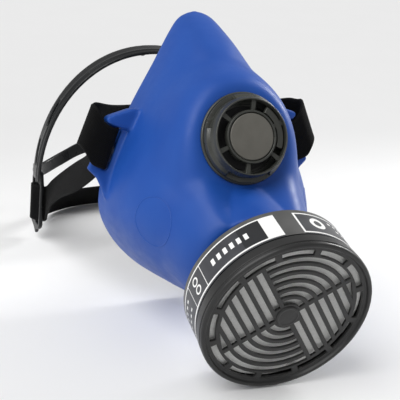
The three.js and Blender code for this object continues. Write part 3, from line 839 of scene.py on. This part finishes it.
def build_facepiece():
    snout_back = PORT_FIT["face"] - PORT_FIT["deep"]
    snout = tool_disc("snout", PORT, PORT_FIT["flat"] + FIT_CUT["margin"], snout_back, PORT_FIT["face"])
    skin = boolean(cup("skin", 0, 0), lug_parts() + [snout], "UNION")
    cuts = [cup("hollow", WALL, LIP["thick"]), face_opening()]
    for place, fit in ((PORT, PORT_FIT), (VALVE, VALVE_FIT)):
        face, seat = fit["face"], fit["flat"] + FIT_CUT["margin"]
        for radius, back, front in ((fit["bore"], -FIT_CUT["bore_back"], FIT_CUT["bore_front"]),
                                    (fit["nut"], -fit["deep"], -WALL), (seat, 0, FIT_CUT["seat_front"])):
            cuts.append(tool_disc("cut", place, radius, face + back, face + front))
    skin = moulded(boolean(skin, cuts, "DIFFERENCE"), SKIN["voxel"], SKIN["rounds"])
    curl_lip(skin)
    surface = BVHTree.FromObject(skin, bpy.context.evaluated_depsgraph_get())
    whole = joined("facepiece_moulding", [skin, cheek_mark(surface, 1), cheek_mark(surface, -1)])
    dress(smooth(whole), "facepiece", "facepiece", "facepiece")


build_facepiece()

# ---- filter port


SPOKES = 6


def wheel(name, place, rings, window, low, high, start_deg, sweep_deg):
    """A plate with round outlines, and even windows from one radius to another between its spokes."""
    turns = (360 / SPOKES * i + start_deg for i in range(SPOKES))
    windows = [sector(*window, turn, turn + sweep_deg) for turn in turns]
    return plate(name, place, [circle(radius) for radius in rings] + windows, low, high, 0.2)


socket = [(20.4, -12), (23.6, -12), (23.6, -3), (26, -3), (26, -0.8), (25.2, 0), (21, 0), (20.4, -0.6)]
dress(smooth(lathe("port_socket", PORT, socket, 0.3)), "facepiece", "black_plastic", "connector_housing")
dress(smooth(disc_ring("port_lock_ring", PORT, 23.8, 25.6, -9.6, -6.6)),
      "facepiece", "black_plastic", "connector_lock_ring")
dress(smooth(disc_ring("port_gasket", PORT, 16, 20.1, -11.7, -9.8, 0.5)),
      "facepiece", "seal_rubber", "connector_gasket")
inhale_post = lathe("post", PORT, oblong(0, 1.6, -17.4, -14), 0.4, 48)
inhale_wheel = wheel("seat", PORT, [23.5], (4, 15.5), -14.6, -12.3, 7, 46)
dress(smooth(joined("inhalation_seat", [inhale_wheel, inhale_post])),
      "facepiece", "graphite_plastic", "inhalation_valve_seat")
dress(smooth(disc_ring("inhalation_flap_disc", PORT, 2, 17.2, -15.8, -14.9, 0.4)),
      "inhalation_flap", "silicone", "inhalation_valve_flap")

# ---- exhalation valve

seat_profile = [(17.8, -8), (20.6, -8), (22.8, -5.6), (22.8, -4.2), (21.3, -3.4), (21.3, 0.3), (24.3, 0.3),
                (24.3, 1.4), (23.7, 2), (17.8, 2)]
seat_ring = lathe("seat_ring", VALVE, seat_profile, 0.35)
seat_wheel = wheel("seat_spider", VALVE, [18.5, 2.4], (4.5, 15.2), -1.4, 0.6, 8, 44)
dress(smooth(joined("exhalation_seat", [seat_ring, seat_wheel])),
      "facepiece", "graphite_plastic", "exhalation_valve_seat", VALVE_PLASTIC)
flap_profile = [(0, -4.6), (2.9, -4.6), (2, -3.3), (2, 0.9), (16.6, 0.9), (16.6, 1.8), (3, 1.8), (2.4, 2.2),
                (0, 2.2)]
dress(smooth(lathe("exhalation_flap_disc", VALVE, flap_profile, 0.3)),
      "exhalation_flap", "seal_rubber", "exhalation_valve_flap")

COVER_PROFILE = [(19.2, 7.6), (19.8, 6), (21, 2.3), (23.2, 2.3), (23.2, 3), (22.8, 5.2), (21.2, 6.6),
                 (20.5, 9), (20.2, 11.2), (19.9, 11.7), (19.3, 11.7), (19, 10.1), (19, 8.1)]
MIDDLE_PROFILE = [(0, 8.1), (14, 8.1), (14, 10.1), (13.7, 11.4), (12.8, 11.4), (12.4, 10.4), (0, 10.4)]
BADGE_PROFILE = [(0, 10.7), (12.1, 10.7), (12.1, 11.1), (11.7, 11.4), (0, 11.4)]
GRIPS_DEG = [(105, 165), (235, 300), (-15, 45)]


def build_valve_cover():
    """The bayonet cap: its stepped ring with three finger grips, sunken spokes, middle and baffle."""
    cuts = [plate("grip", VALVE, [sector(20.9, 26, *grip)], 3.6, 7.6, 0.05) for grip in GRIPS_DEG]
    ring = boolean(faces_out(lathe("cover_ring", VALVE, COVER_PROFILE, 0.3)), cuts, "DIFFERENCE")
    spokes = wheel("cover_spokes", VALVE, [19.6], (13.9, 19.1), 8.1, 10.1, 25, 52)
    middle = lathe("cover_middle", VALVE, MIDDLE_PROFILE, 0.3)
    baffle = plate("cover_baffle", VALVE, [sector(14.8, 18.2, -22, 56)], 7.4, 10.3, 0.4)
    whole = joined("valve_cover_shell", [ring, spokes, middle, baffle])
    dress(smooth(whole), "valve_cover", "graphite_plastic", "valve_cover", VALVE_PLASTIC)


build_valve_cover()
dress(smooth(lathe("valve_badge", VALVE, BADGE_PROFILE, 0.2)), "valve_cover", "badge", "valve_cover_badge")

# ---- filter

THREAD = {"root": 18.6, "rise": 1.3, "sunk": 0.3, "pitch": 25.4 / 7, "turns": 2.4, "start": -7.2,
          "steps": 48, "fade": 14, "fade_least": 0.1, "around": 10}


def thread_ridge():
    """The round thread on the filter's neck, fading at both ends."""
    around = THREAD["around"]
    steps = int(THREAD["turns"] * THREAD["steps"])
    points = []
    for i in range(steps + 1):
        a = 2 * pi * i / THREAD["steps"]
        fade = max(min(1, i / THREAD["fade"], (steps - i) / THREAD["fade"]), THREAD["fade_least"])
        for k in range(around):
            b = 2 * pi * k / around
            r = THREAD["root"] - THREAD["sunk"] + THREAD["rise"] * fade * cos(b)
            z = THREAD["start"] + THREAD["pitch"] * i / THREAD["steps"] + THREAD["rise"] * sin(b)
            points.append((r * cos(a), r * sin(a), z))
    ends = [list(range(around)), [steps * around + k for k in range(around)]]
    return faces_out(mesh_object("thread", PORT.out(points), ring_faces(steps + 1, around) + ends))


GRILLE = {"radius": 41.6, "back": 39, "front": 40.6, "slots": 12, "slot_radii": (37.4, 40.4),
          "slot_from": 22, "slot_to": 47}
SPOKE_DEG = 33
HALF_BAR = 1.2
HALF_SLOT = 1.5
FIELD = 35.2
CURVED = {"count": 6, "first": 9, "step": 5.1}
STRAIGHT = {"count": 7, "first": 2.7, "step": 5.25, "hub_clear": 7.2, "shortest": 0.4}


def straight_slot(row, turn):
    """A straight slot, from the bar, or the hub in the first row, out to the edge of the field."""
    offset = STRAIGHT["first"] + STRAIGHT["step"] * row
    inner = STRAIGHT["hub_clear"] if row == 0 else HALF_BAR
    near, far = offset - HALF_SLOT, offset + HALF_SLOT
    near_end, far_end = (sqrt(max(FIELD ** 2 - side ** 2, 0)) for side in (near, far))
    if far_end < inner + 1:
        far_end = inner + STRAIGHT["shortest"]
    c, n = cos(turn), sin(turn)
    corners = [(near, -inner), (far, -inner), (far, -far_end), (near, -near_end)]
    return [(x * c - y * n, x * n + y * c) for x, y in corners]


def grille_outlines():
    """The grille: an outer row of slots, curved slots in two quarters and straight ones in the others."""
    outlines = [circle(GRILLE["radius"])]
    for i in range(GRILLE["slots"]):
        turn = 360 / GRILLE["slots"] * i
        outlines.append(sector(*GRILLE["slot_radii"], turn + GRILLE["slot_from"], turn + GRILLE["slot_to"]))
    for start in (SPOKE_DEG, SPOKE_DEG + 180):
        for ring in range(CURVED["count"]):
            middle = CURVED["first"] + CURVED["step"] * ring
            margin = degrees(HALF_BAR / middle)
            radii = (middle - HALF_SLOT, middle + HALF_SLOT)
            outlines.append(sector(*radii, start + margin, start + 90 - margin))
        outlines += [straight_slot(row, radians(start)) for row in range(STRAIGHT["count"])]
    return outlines


CAP_PROFILE = [(41.2, 39), (41.4, 39), (42.6, 37.8), (43, 33.9), (45, 33.9), (45.4, 39.2), (44.9, 39.5),
               (44.9, 39.9), (45.4, 40.2), (45.3, 41.3), (44.7, 42.2), (43.8, 42.4), (43, 42.2),
               (42.4, 40.6), (41.2, 40.6)]
HUB_PROFILE = [(0, 39.6), (6.2, 39.6), (6.2, 41), (5.7, 41.4), (4.9, 41.4), (4.6, 41.2), (3, 41.35),
               (0, 41.4)]
CAN_PROFILE = [(15.5, -9.4), (18.1, -9.4), (18.6, -8.8), (18.6, 8.2), (27, 8.2), (40.6, 9.4), (42.5, 11.4),
               (43.4, 12.4), (44, 33.6), (42.2, 33.6), (40.9, 13.2), (15.5, 11.4)]
LABEL_PROFILE = [(43.75, 13), (44.15, 13), (44.7, 33), (44.3, 33)]
WIDE_SIDES = 192
FELT = {"back": 35.7, "face": 37.4, "swell": 0.12, "swell_above": 37, "waves": (3.1, 3.7), "phase": 1.3}


def build_cap():
    rim = lathe("cap_rim", PORT, CAP_PROFILE, 0.5, WIDE_SIDES)
    grille = plate("cap_grille", PORT, grille_outlines(), GRILLE["back"], GRILLE["front"], 0.3)
    hub = lathe("cap_hub", PORT, HUB_PROFILE, 0.25, 96)
    whole = joined("filter_cap", [rim, grille, hub])
    dress(smooth(whole), "filter", "graphite_plastic", "filter_front_cover")


def felt_disc():
    """The pre-filter: a felt disc whose face is not quite level."""
    back = [(r, FELT["back"]) for r in (0, 8, 16, 24, 32, 41)]
    face = [(r, FELT["face"]) for r in range(36, -1, -6)]
    piece = lathe("felt_disc", PORT, back + [(41.4, 36.5), (41, 37.3)] + face, 0.5)
    local = PORT.back(coordinates(piece.data) / MM)
    wave_x, wave_y = FELT["waves"]
    swell = FELT["swell"] * np.sin(local[:, 0] / wave_x + FELT["phase"]) * np.sin(local[:, 1] / wave_y)
    local[:, 2] += swell * (local[:, 2] > FELT["swell_above"])
    piece.data.vertices.foreach_set("co", (PORT.out(local) * MM).ravel())
    return piece


build_cap()
can = lathe("can", PORT, CAN_PROFILE, 0.5, WIDE_SIDES)
dress(smooth(joined("filter_can", [can, thread_ridge()])), "filter", "graphite_plastic", "filter_housing")
dress(smooth(disc_ring("neck_gasket", PORT, 20.4, 24.6, 5.6, 7.9, 0.8)),
      "neck_seal", "seal_rubber", "filter_neck_gasket")
dress(smooth(lathe("label_wrap", PORT, LABEL_PROFILE, 0.1, WIDE_SIDES)), "filter", "label", "filter_label")
dress(smooth(felt_disc()), "filter", "filter_media", "prefilter_disc")

for node, slot in (("pleated_element", "filter_media"), ("carbon_retainer", "black_plastic"),
                   ("carbon_bed", "carbon"), ("rear_grid", "black_plastic")):
    paint(frame["nodes"][node], slot)

# ---- head harness

CRADLE = {"half": 67.5, "rise": 83, "power": 2.11, "base_y": 104, "base_z": -18, "lean": radians(7),
          "wide": 12.5, "back_wide": 9, "thick": 2.2, "plate_x": 66, "plate_thick": 2.4, "steps": 72,
          "foot": (-0.4, 0.4, -3), "voxel": 0.55, "rounds": 4}
RIB = {"half": 1.1, "crown_at": 2.2, "crown_rise": 0.55, "back_rise": 0.3}


def strip_section(wide, rib_at, rib_rise):
    """A moulded strip with round edges and one rib along its outer face."""
    half, deep = wide / 2, CRADLE["thick"] / 2
    edge = [(half - deep + deep * cos(a), deep * sin(a)) for a in np.linspace(-1.3, 1.3, 7)]
    other = [(-x, -y) for x, y in edge]
    rib = [(rib_at + RIB["half"] * t, deep + rib_rise * (1 - abs(t) ** 3))
           for t in (1, 0.7, 0.3, -0.3, -0.7, -1)]
    return edge + rib + other


def crown_rows():
    """The arch over the head, leaning back, with a foot at each end that reaches into the end plate."""
    across = (0, cos(CRADLE["lean"]), sin(CRADLE["lean"]))
    power = 2 / CRADLE["power"]
    rows = []
    for i in range(CRADLE["steps"] + 1):
        angle = pi * i / CRADLE["steps"]
        c, n = cos(angle), sin(angle)
        up = CRADLE["rise"] * abs(n) ** power
        side = CRADLE["half"] * copysign(abs(c) ** power, c)
        rows.append((side, CRADLE["base_y"] - up * across[2], CRADLE["base_z"] + up * across[1], *across))
    start = (CRADLE["half"], CRADLE["base_y"], CRADLE["base_z"])
    foot = [at + step for at, step in zip(start, CRADLE["foot"])]
    return np.array([(*foot, *across)] + rows + [(-foot[0], *foot[1:], *across)])


def sideways(x):
    """A place whose flat is the object's side view, that far to the right."""
    return Place(HEAD.out([x, 0, 0]), [0, 1, 0], [0, 0, 1], X_AXIS)


def end_plate():
    """A plate with two upright slots for the head strap, and a blunt point on its lower edge."""
    outline = [(98, -14), (95, -22.5), (95, -49)]
    outline += quadratic((95, -49), (97, -53), (102, -54), 6) + [(104.5, -57.5)]
    outline += quadratic((104.5, -57.5), (108, -54), (113, -53), 6)
    outline += quadratic((113, -53), (116, -52), (116, -48), 6) + [(116, -22.5), (111, -14)]
    slots = [rounded(oblong(*ends, -49.5, -22.5), 1.0) for ends in ((98, 104.4), (108.4, 113.6))]
    half = CRADLE["plate_thick"] / 2
    return plate("end_plate", sideways(CRADLE["plate_x"]), [outline] + slots, -half, half, 0.5)


def side_cutter(y, z, wide, high):
    """A tool that cuts an upright slit through the cradle's side."""
    outline = oblong(y - wide / 2, y + wide / 2, z - high / 2, z + high / 2)
    return plate("slit", sideways(60), [rounded(outline, 1.0)], -4, 12, 0.05)


# Each row of a band is a point and then the direction across the band, in the head frame.
BACK_ROWS = [(66.4, 108, -16.5, 0, 0.05, 1), (63.5, 124, -21.5, 0.02, 0.1, 1),
             (54, 141, -27.5, 0.03, 0.15, 1), (38, 154, -25.4, 0.02, 0.2, 1), (20, 161, -20, 0, 0.22, 1),
             (0, 163, -18, 0, 0.25, 1)]
NUB_AT = [-6.7, 93.9, 60.4]
NUB_PROFILE = [(0, 0), (1.6, 0.4), (2.1, 1.6), (2.1, 3.4), (0, 3.4)]
SLITS = [(104.2, -2.5, 2.2, 17), (98.6, 24, 3.2, 17)]
ROW_STEPS = 10


def build_cradle():
    section = [(-x, -y) for x, y in strip_section(CRADLE["wide"], RIB["crown_at"], RIB["crown_rise"])]
    crown = band("crown", HEAD, crown_rows(), section)
    back = band("back", HEAD, both_ways(smooth_line(BACK_ROWS, ROW_STEPS)),
                strip_section(CRADLE["back_wide"], 0, RIB["back_rise"]))
    tip = end_plate()
    nub = lathe("nub", Place(HEAD.out(NUB_AT), X_AXIS, [0, 1, 0], [0, 0, 1]), NUB_PROFILE, 0.5, 40)
    solid = boolean(crown, [back, tip, mirror(tip), nub], "UNION")
    cuts = [side_cutter(*slit) for slit in SLITS]
    cuts += [mirror(cut) for cut in cuts]
    solid = moulded(boolean(solid, cuts, "DIFFERENCE"), CRADLE["voxel"], CRADLE["rounds"])
    solid.name = "head_cradle_moulding"
    dress(smooth(solid), "harness", "black_plastic", "head_cradle", CRADLE_PLASTIC)


build_cradle()

# From the lug, through the end plate's two slots at SLOT_Z, to the nape.
SLOT_Z = -36
HEAD_STRAP_ROWS = [
    (53.6, 10.8, 29.6, -0.3, 0.3, 0.9), (56.2, 18.5, 22, -0.25, 0.45, 0.85),
    (58.6, 28, 13, -0.32, 0.4, 0.86), (60.5, 38, 5, -0.4, 0.2, 0.88), (62, 54, -4, -0.42, 0.1, 0.9),
    (63, 72, -15.5, -0.36, 0.06, 0.93), (63, 88, -27.5, -0.15, 0.03, 1), (62.9, 97, SLOT_Z + 1, 0, 0, 1),
    (66.3, 101.2, SLOT_Z, 0, 0, 1), (69.3, 105, SLOT_Z, 0, 0, 1), (68.6, 109.4, SLOT_Z - 0.5, 0, 0, 1),
    (64.6, 111.4, SLOT_Z - 1, 0, 0, 1), (61.8, 116, -40, 0, -0.05, 1), (56, 127, -46, 0, -0.35, 0.94),
    (45, 138, -50, 0, -0.55, 0.83), (29, 147, -51.5, 0, -0.64, 0.77), (13, 150.8, -51.7, 0, -0.65, 0.76),
    (0, 151.5, -51.7, 0, -0.65, 0.76)]
STRAP_BEND = (10, 38)

head_strap_rows = both_ways(smooth_line(HEAD_STRAP_ROWS, ROW_STEPS))
head_strap = smooth(band("head_strap_band", HEAD, head_strap_rows, web_section()))
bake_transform(head_strap, "facepiece", "harness", tuple(HEAD.out([0, STRAP_BEND[0], 0]) * MM),
         tuple(HEAD.out([0, STRAP_BEND[1], 0]) * MM))
dress(head_strap, "harness", "webbing", "head_strap")

# Behind the mask in the head frame, then round the lug's bar in the lug's own frame.
NECK_BEHIND = [(0, 43.5, 33), (16, 42.5, 33.5), (32, 37.5, 34.5), (46, 29.5, 37), (57, 21.5, 41)]
NECK_LOOP = [(16.4, 8.3, -5), (17.4, 8.2, -1.2), (16, 7, 2.4), (13, 4.2, 4.2), (9, 0.8, 4.4), (5, 0, 4),
             (1.7, 0, 3.1), (0.3, 0, 1.4), (0.1, 0, -1.6), (0.1, 0, -5)]
neck_rows = [point + (0, 0, 1) for point in NECK_BEHIND]
neck_rows += [(*HEAD.back(LUG.out(point)), *LUG.axes[1]) for point in NECK_LOOP]
neck_rows = both_ways(smooth_line(neck_rows, ROW_STEPS)[::-1])
neck_strap = band("neck_strap_band", HEAD, neck_rows, web_section())
dress(smooth(neck_strap), "facepiece", "webbing", "neck_strap")

# ---- stage, light and camera

FLOOR_HALF = 3000
WORLD_STRENGTH = 0.44
BEAM = radians(40)
CAMERA = {"azimuth": radians(-23.553), "elevation": radians(20), "roll": radians(5.209),
          "distance": 0.6832, "lens": 108, "sensor": 36}
AIM = Vector((HEAD.origin * MM).tolist())


def floor():
    corners = [(x, y, 0) for x, y in oblong(-FLOOR_HALF, FLOOR_HALF, -FLOOR_HALF, FLOOR_HALF)]
    made = mesh_object("floor", corners, [[0, 1, 2, 3]])
    paper = Finish("studio_floor", specular=0.0)
    paper.colour(paper.mix(paper.noise(60, 2), (0.86, 0.86, 0.86, 1), (0.88, 0.88, 0.88, 1)))
    paper.roughness(0.9)
    made.data.materials.append(paper.material)


def soft_light(name, position, size, power):
    """A strip of light that keeps to a narrow beam."""
    lamp = bpy.data.lights.new(name, "AREA")
    lamp.shape = "RECTANGLE"
    lamp.size, lamp.size_y = size
    lamp.energy = power
    lamp.spread = BEAM
    hang(lamp, position)


def overhead(name, position, angle, strength):
    """An even light over the whole floor, as wide as a large diffuser."""
    lamp = bpy.data.lights.new(name, "SUN")
    lamp.angle = radians(angle)
    lamp.energy = strength
    hang(lamp, position)


def hang(lamp, position):
    """Puts a lamp at a place in metres, aimed at the mask."""
    holder = in_scene(lamp.name, lamp)
    holder.location = position
    holder.rotation_euler = (AIM - Vector(position)).to_track_quat("-Z", "Y").to_euler()


def camera():
    """Looks at the middle of the mask from the photo's side, with the photo's small roll."""
    a, e, roll = CAMERA["azimuth"], CAMERA["elevation"], CAMERA["roll"]
    back = Vector((sin(a) * cos(e), -cos(a) * cos(e), sin(e)))
    level = Vector((cos(a), sin(a), 0))
    upright = back.cross(level)
    right = level * cos(roll) + upright * sin(roll)
    up = back.cross(right)
    data = bpy.data.cameras.new("camera")
    data.lens, data.sensor_width = CAMERA["lens"], CAMERA["sensor"]
    holder = in_scene("camera", data)
    turn = np.array([right, up, back]).T
    holder.rotation_mode = "QUATERNION"
    holder.rotation_quaternion = Matrix(turn.tolist()).to_quaternion()
    holder.location = AIM + back * CAMERA["distance"]
    bpy.context.scene.camera = holder


floor()
camera()
overhead("overhead", (-0.8, -0.3, 1.2), angle=50, strength=2.0)
soft_light("left_strip", (-0.8, -0.25, 0.45), size=(0.2, 0.6), power=0.12)
soft_light("right_strip", (0.7, 0.15, 0.4), size=(0.15, 0.6), power=0.5)
world = bpy.data.worlds.new("studio")
world.use_nodes = True
sky = world.node_tree.nodes["Background"].inputs
sky["Color"].default_value = (1, 1, 1, 1)
sky["Strength"].default_value = WORLD_STRENGTH
bpy.context.scene.world = world
bpy.context.scene.view_settings.view_transform = "Standard"
